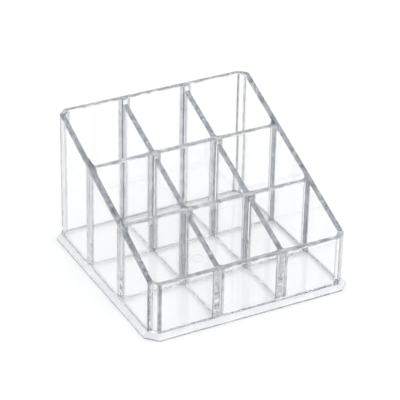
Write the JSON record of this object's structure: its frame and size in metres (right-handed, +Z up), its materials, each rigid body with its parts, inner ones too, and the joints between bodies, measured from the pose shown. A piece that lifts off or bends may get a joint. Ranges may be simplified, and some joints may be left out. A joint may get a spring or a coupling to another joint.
{
  "type": "acrylic organizer",
  "caption": "Square clear tray with a grid of open upright compartments, a rim that slopes down to the front, cut corners and a narrow bevelled flange around its foot.",
  "frame": {"origin": "on the table under the middle of the box", "axes": "+Z up, +X to the right of someone facing the low front, +Y to the high back wall"},
  "size_m": [0.096, 0.096, 0.0624],
  "materials": {
    "clear_acrylic": "polished, clear"
  },
  "bodies": {
    "root": {"base_plate": "clear_acrylic", "back_wall": "clear_acrylic", "front_wall": "clear_acrylic", "left_wall": "clear_acrylic", "right_wall": "clear_acrylic", "divider_left": "clear_acrylic", "divider_right": "clear_acrylic", "cross_divider_front": "clear_acrylic", "cross_divider_back": "clear_acrylic"}
  },
  "joints": []
}
